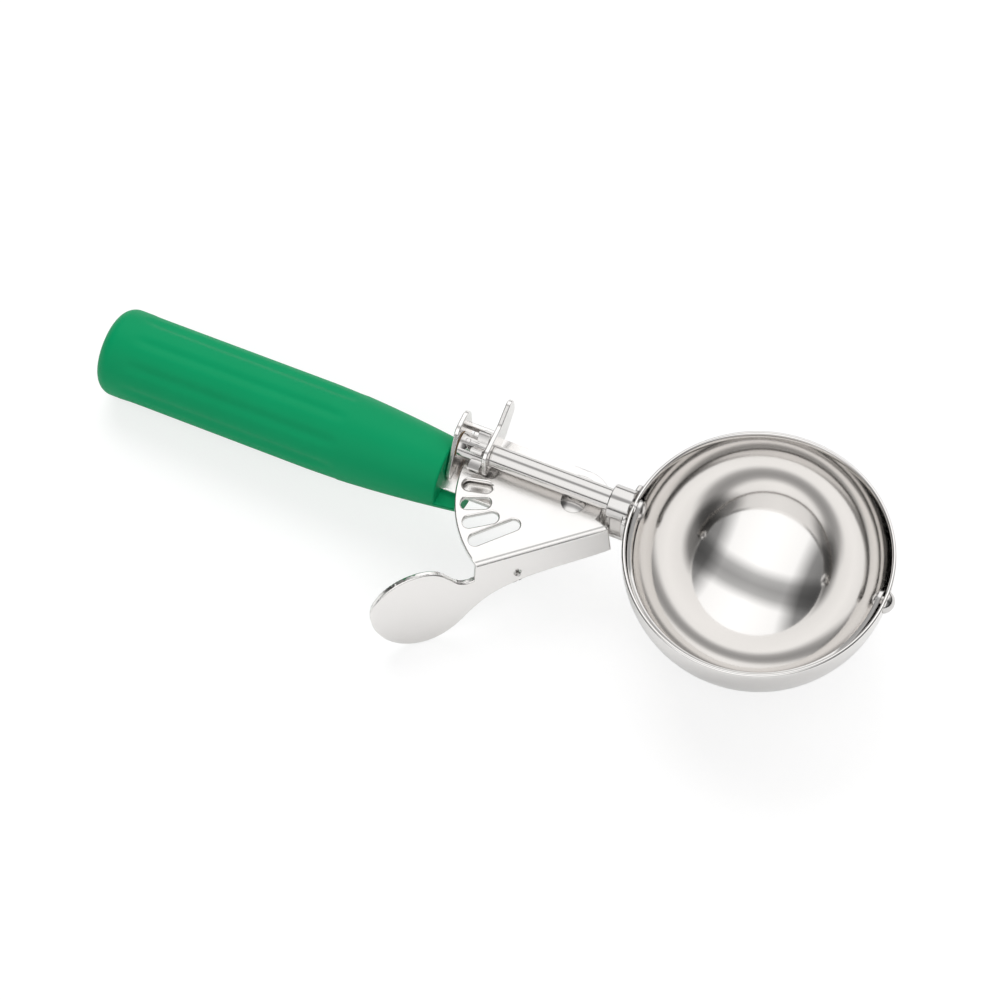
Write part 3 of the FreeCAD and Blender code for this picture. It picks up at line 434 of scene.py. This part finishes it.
# The profile's first and last points lie on the axis. They are the poles, not rings.
rings = len(bowl_radius) - 2
r, z = bowl_radius[1:-1, None], bowl_height[1:-1, None]
bowl_points = np.stack([r * np.cos(around), r * np.sin(around), z + 0 * around], axis=-1).reshape(-1, 3)
poles = [[0, 0, -OUTER_MM], [0, 0, -inner_mm]]
bowl_faces = ring_faces(rings, BOWL_SEGMENTS)
bowl_faces += fan_faces(rings * BOWL_SEGMENTS, 0, BOWL_SEGMENTS)
bowl_faces += fan_faces(rings * BOWL_SEGMENTS + 1, (rings - 1) * BOWL_SEGMENTS, BOWL_SEGMENTS)
new_piece("spun_bowl", np.concatenate([bowl_points, poles]), bowl_faces, "bowl")

# %% [markdown]
# The scraper is a thin strip, bent to the inside of the bowl. It is widest at the bottom,
# narrows towards the spindle line, and ends in two round eyes. Each cross-section is the
# same small rounded bar, scaled in width, set square to the ball at its angle of the arc.

# %% The scraper
BLADE_OUTER_MM = 32.2
BLADE_THICK_MM = 1.1
BLADE_HALF_MM = 6.0
EYE_MM = 3.0
EYE_END_SHARE = 0.995
BLADE_REST_DEGREES = 77.5
BLADE_ROWS = 97
eye_reach = math.asin(EYE_MM / BLADE_OUTER_MM) * EYE_END_SHARE
arc = np.linspace(-math.pi / 2 - eye_reach, math.pi / 2 + eye_reach, BLADE_ROWS)
above = np.clip(-np.cos(arc) * BLADE_OUTER_MM, 0, EYE_MM)
half_width = np.maximum(BLADE_HALF_MM * np.cos(arc), np.sqrt(EYE_MM ** 2 - above ** 2))
# The section goes round a bar: two rounded corners on one side, then two on the other.
CORNER_MM = 0.22
CORNER_STEPS = 4
corner = np.radians(np.linspace(0, 90, CORNER_STEPS))
side_in = -CORNER_MM * np.concatenate([1 - np.sin(corner), 1 - np.cos(corner)])
depth_in = CORNER_MM * np.concatenate([1 - np.cos(corner), np.sin(corner) - 1])
depth_in[CORNER_STEPS:] += BLADE_THICK_MM
side = np.concatenate([np.ones(2 * CORNER_STEPS), -np.ones(2 * CORNER_STEPS)])
inset = np.concatenate([side_in, -side_in[::-1]])
depth = np.concatenate([depth_in, depth_in[::-1]])
# Each row keeps its distance from the ball's middle: radius squared = across squared + lean squared.
across = side * half_width[:, None] + inset
radius = BLADE_OUTER_MM - depth
lean = np.sqrt(np.maximum(radius ** 2 - across ** 2, 0))
flat = np.stack([lean * np.sin(arc)[:, None], across, -lean * np.cos(arc)[:, None]], axis=-1)
rest = math.radians(-BLADE_REST_DEGREES)
turn_back = np.array([[1, 0, 0], [0, math.cos(rest), math.sin(rest)], [0, -math.sin(rest), math.cos(rest)]])
blade_points = flat.reshape(-1, 3) @ turn_back
columns = len(side)
blade_faces = ring_faces(BLADE_ROWS, columns)
blade_faces += [list(range(columns)), list(range((BLADE_ROWS - 1) * columns, BLADE_ROWS * columns))]
new_piece("bent_scraper", blade_points, blade_faces, "scraper_blade", 60)

# %% [markdown]
# The handle is moulded plastic. It is round about its own line: a flat butt with a rounded
# edge, a straight grip with shallow flutes, and a taper to the front. At the front the upper part
# stops at the bracket, and a lip runs on below the frame plate. The flutes are a small
# wave taken off the radius, which fades in and out along the grip, so that they end in
# soft spoon shapes as moulded flutes do.

# %% The handle
SHOULDER_X = -81.5
LIP_MM = 6.0
LIP_TOP_Z = -8.45
HANDLE_MM = 94.77
HANDLE_Y, HANDLE_Z = -5.3, -8.0
FULL_RADIUS, FRONT_RADIUS = 11.58, 8.2
TAPER_MM, TAPER_POWER = 42.75, 1.7
BUTT_ROUND_MM = 4.0
FLUTES = 10
FLUTE_DEPTH_MM = 0.5
FLUTE_FADE_MM = 5.0
FLUTE_PHASE = 0.6
FLUTE_START_MM, FLUTE_LENGTH_MM = 8.0, 60.0
FLUTE_NARROWNESS = 2.5
CAP_EDGE_DEGREES, CAP_STEPS = 3, 14
GRIP_STEPS, LIP_STEPS = 90, 7
front_x = SHOULDER_X + LIP_MM
butt_x = SHOULDER_X - HANDLE_MM


def handle_radius(x, angle):
    """The taper, a quarter circle at the butt, and the flutes taken off.

    The taper is full radius - (full - front) * (1 - distance from the front / length) ** power.
    A flute is its depth * (half a cosine wave, raised) ** narrowness, faded in and out.
    """
    from_front = np.clip((front_x - x) / TAPER_MM, 0, 1)
    plain = FULL_RADIUS - (FULL_RADIUS - FRONT_RADIUS) * (1 - from_front) ** TAPER_POWER
    into_round = np.clip((butt_x + BUTT_ROUND_MM - x) / BUTT_ROUND_MM, 0, 1)
    plain = plain - BUTT_ROUND_MM * (1 - np.sqrt(1 - into_round ** 2))
    from_start = (x - butt_x - FLUTE_START_MM) / FLUTE_FADE_MM
    to_end = FLUTE_LENGTH_MM / FLUTE_FADE_MM - from_start
    fade = np.clip(from_start, 0, 1) * np.clip(to_end, 0, 1)
    wave = (0.5 + 0.5 * np.cos(FLUTES * angle + FLUTE_PHASE)) ** FLUTE_NARROWNESS
    return plain - FLUTE_DEPTH_MM * fade ** 0.5 * wave


def handle_points(x, angle):
    """Points on the handle: the angle is 0 at the top, and each x gives one ring."""
    x, angle = x[:, None], angle[None, :]
    r = handle_radius(x, angle)
    y, z = HANDLE_Y + r * np.sin(angle), HANDLE_Z + r * np.cos(angle)
    return np.stack([x + 0 * angle, y, z], axis=-1).reshape(-1, 3)


# The rings are cut where the plane under the frame plate crosses them, so the lip has a flat top.
cut_angle = math.acos((LIP_TOP_Z - HANDLE_Z) / FRONT_RADIUS)
UPPER_STEPS, LOWER_STEPS = 148, 140
upper = np.linspace(-cut_angle, cut_angle, UPPER_STEPS + 1)
lower = np.linspace(cut_angle, 2 * math.pi - cut_angle, LOWER_STEPS + 1)
angles = np.concatenate([upper, lower[1:-1]])
into_butt = np.radians(np.linspace(CAP_EDGE_DEGREES, 90, CAP_STEPS))
quarter_round = butt_x + BUTT_ROUND_MM * (1 - np.cos(into_butt))
grip_x = np.concatenate([quarter_round, np.linspace(quarter_round[-1], SHOULDER_X, GRIP_STEPS)[1:]])
lip_x = np.linspace(SHOULDER_X, front_x, LIP_STEPS)
grip = handle_points(grip_x, angles)
lip = handle_points(lip_x[1:], lower)
columns = len(angles)
grip_faces = ring_faces(len(grip_x), columns)
last_ring = (len(grip_x) - 1) * columns
lip_start = len(grip)
lower_columns = list(range(UPPER_STEPS, columns)) + [0]
lip_index = np.concatenate([
    [last_ring + np.array(lower_columns)],
    lip_start + np.arange(len(lip)).reshape(-1, len(lower)),
])
lip_quads = [lip_index[:-1, :-1], lip_index[:-1, 1:], lip_index[1:, 1:], lip_index[1:, :-1]]
lip_faces = np.stack(lip_quads, axis=-1).reshape(-1, 4).tolist()
# The butt, the upper front, the lip's front and the lip's flat top close the solid.
caps = [
    list(range(columns)),
    list(range(last_ring, last_ring + UPPER_STEPS + 1)),
    lip_index[-1].tolist(),
    lip_index[:, 0].tolist() + lip_index[::-1, -1].tolist(),
]
HANDLE_EDGE_MM = 0.5
handle_faces = grip_faces + lip_faces + caps
handle = new_piece("moulded_handle", np.concatenate([grip, lip]), handle_faces, "handle_grip")
soften(handle, HANDLE_EDGE_MM)

# %% [markdown]
# The lever, the frame plate, the bracket and the neck are pressed from sheet, and the small
# pins and rivets are turned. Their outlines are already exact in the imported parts, so each
# is a copy whose triangles are merged back into whole faces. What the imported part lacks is
# the break of its edges: tumbling rounds every outer edge by a few tenths of a millimetre,
# and that thin round is what catches the light along an edge of real steel. The lever's
# fold is rounder, because sheet can't be bent to a sharp corner.

# %% Pressed and turned steel
PIVOT = to_tool(SWING["pos_m"])
FOLD_TURN = math.radians(40.2)
OUT_OF_FOLD = np.array([math.sin(FOLD_TURN), -math.cos(FOLD_TURN), 0])
ALONG_FOLD = np.array([-math.cos(FOLD_TURN), -math.sin(FOLD_TURN), 0])
FOLD_FROM_PIVOT_MM, LEVER_TOP_Z = 9.8, -4.15
SPRING_HOLE_U, SPRING_HOLE_W = 18.1, 7.1


def part_at_spring_hole(work):
    """Cuts the lever's faces on a plane through its spring hole, and keeps the cut as a seam.

    A face with a hole in it can't be one ring of points. Parted here, each side of the
    flange is one whole face, so its shading is truly flat.
    """
    everything = work.verts[:] + work.edges[:] + work.faces[:]
    on_plane = to_table(PIVOT + SPRING_HOLE_U * ALONG_FOLD)
    cut = bmesh.ops.bisect_plane(work, geom=everything, plane_co=on_plane, plane_no=ALONG_FOLD @ TOOL_AXES)
    for edge in cut["geom_cut"]:
        if isinstance(edge, bmesh.types.BMEdge):
            edge.seam = True


def round_fold(work):
    """Bends the lever's one fold to a radius: the long outward edge that is not square."""
    low, high = FOLD_DEGREES
    folds = [
        edge for edge in work.edges
        if edge.is_convex and edge.calc_length() > FOLD_LEAST_MM * MM
        and low < math.degrees(edge.calc_face_angle(0)) < high
    ]
    bmesh.ops.bevel(work, geom=folds, offset=BEND_MM * MM, segments=BEND_STEPS, profile=0.5, affect="EDGES")


def merged_copy(name, node):
    """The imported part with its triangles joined, flat faces made whole, and any fold rounded."""
    mesh = frame["nodes"][node].data.copy()
    mesh.name = name
    work = bmesh.new()
    work.from_mesh(mesh)
    bmesh.ops.remove_doubles(work, verts=work.verts, dist=MERGE_MM * MM)
    if node == "thumb_lever":
        part_at_spring_hole(work)
    bmesh.ops.dissolve_limit(
        work, angle_limit=math.radians(FLAT_DEGREES), verts=work.verts, edges=work.edges,
        use_dissolve_boundaries=False, delimit={"SEAM"},
    )
    bmesh.ops.recalc_face_normals(work, faces=work.faces)
    if node == "thumb_lever":
        round_fold(work)
    work.to_mesh(mesh)
    work.free()
    mesh.shade_smooth()
    mesh.set_sharp_from_angle(angle=math.radians(SHARP_DEGREES))
    return take_over(bpy.data.objects.new(name, mesh), node)


MERGE_MM, FLAT_DEGREES = 0.001, 0.4
FOLD_LEAST_MM, FOLD_DEGREES = 8, (60, 85)
BEND_MM, BEND_STEPS = 1.2, 6
EDGE_BREAK_MM = {
    "thumb_lever": 0.35,
    "frame_plate": 0.3,
    "pinion_bracket": 0.25,
    "neck_saddle": 0.3,
    "spindle_tube": 0.15,
    "pinion": 0.12,
    "pivot_washer": 0.1,
    "spring_washer": 0.1,
    "rear_bush": 0.1,
    "spindle_rod": 0.15,
    "pinion_pin": 0.1,
    "pivot_rivet": 0.1,
    "neck_rivets": 0.08,
}
for node, width in EDGE_BREAK_MM.items():
    soften(merged_copy("broken_edge_" + node, node), width)
merged_copy("smooth_tip_rivet", "tip_rivet")

# %% [markdown]
# The return spring is drawn wire, wound three turns round the pivot rivet below the frame.
# One leg hooks up into the frame's small hole, the other goes out through the hole in the
# lever's flange and pushes it. So the wire is a round section carried along a path: a
# helix, with a smooth lead-in and lead-out. It is made in place at rest and is tied to no body.

# %% The return spring
WIRE_MM = 0.9
COIL_RADIUS_MM = 2.75
COIL_TOP_Z, COIL_PITCH_MM, COIL_TURNS = -9.05, 1.4, 3
COIL_START = math.radians(150)
COIL_STEPS, LEAD_STEPS, WIRE_SIDES = 96, 24, 16
HOOK_TOP, HOOK_LOW = PIVOT + [-9.9, 6.3, -6.65], PIVOT + [-9.9, 6.3, -8.3]
HOOK_REACH_MM, LEG_REACH_MM = 1.6, 5.0
FLANGE_SLOPE = math.radians(76)
NO_WIRE_GOES_THIS_WAY = [0.53, 0.21, 0.82]


def lead(start, start_heading, end, end_heading, reach_mm):
    """A cubic from a point and heading to a point and heading, in Bezier's form."""
    t = np.linspace(0, 1, LEAD_STEPS + 1)[:, None]
    near = start + np.multiply(start_heading, reach_mm)
    far = end - np.multiply(end_heading, reach_mm)
    return (1 - t) ** 3 * start + 3 * (1 - t) ** 2 * t * near + 3 * (1 - t) * t ** 2 * far + t ** 3 * end


def tube(path, radius, sides):
    """Rings of points round a path. Each ring is square to the path's heading."""
    heading = np.gradient(path, axis=0)
    across = np.cross(heading, NO_WIRE_GOES_THIS_WAY)
    beside = np.cross(heading, across)
    across /= np.linalg.norm(across, axis=1)[:, None]
    beside /= np.linalg.norm(beside, axis=1)[:, None]
    turn = np.linspace(0, 2 * math.pi, sides, endpoint=False)[None, :, None]
    return path[:, None] + radius * (np.cos(turn) * across[:, None] + np.sin(turn) * beside[:, None])


# The coil: a circle about the pivot that sinks by one pitch a turn.
swept = 2 * math.pi * COIL_TURNS * np.linspace(0, 1, COIL_STEPS + 1)
angle = COIL_START + swept
drop = COIL_PITCH_MM / (2 * math.pi)
east, north, level = np.cos(angle), np.sin(angle), COIL_TOP_Z - drop * swept
coil = PIVOT * [1, 1, 0] + np.stack([COIL_RADIUS_MM * east, COIL_RADIUS_MM * north, level], axis=-1)
coil_heading = np.stack([-north, east, 0 * angle - drop / COIL_RADIUS_MM], axis=-1)

# The leg: it comes square through the hole in the flange, from the fold and down the slope.
down_flange = OUT_OF_FOLD * math.cos(FLANGE_SLOPE) - [0, 0, math.sin(FLANGE_SLOPE)]
face_out = OUT_OF_FOLD * math.sin(FLANGE_SLOPE) + [0, 0, math.cos(FLANGE_SLOPE)]
fold_foot = PIVOT + [0, 0, LEVER_TOP_Z] + OUT_OF_FOLD * FOLD_FROM_PIVOT_MM
leg_end = fold_foot + ALONG_FOLD * SPRING_HOLE_U + down_flange * SPRING_HOLE_W + face_out * WIRE_MM
leg_bend = leg_end - 4 * WIRE_MM * face_out

lead_in = lead(HOOK_LOW, (0, 0, -1), coil[0], coil_heading[0], HOOK_REACH_MM)
lead_out = lead(coil[-1], coil_heading[-1], leg_bend, face_out, LEG_REACH_MM)
wire = np.concatenate([[HOOK_TOP], lead_in, coil[1:], lead_out[1:], [leg_end]])
wire_points = tube(wire, WIRE_MM / 2, WIRE_SIDES).reshape(-1, 3)
last = len(wire_points) - WIRE_SIDES
wire_faces = ring_faces(len(wire), WIRE_SIDES)
wire_faces += [list(range(WIRE_SIDES)), list(range(last, last + WIRE_SIDES))]
spring = new_piece("wound_spring", wire_points, wire_faces, "return_spring", 60, rides=False)
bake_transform(spring)
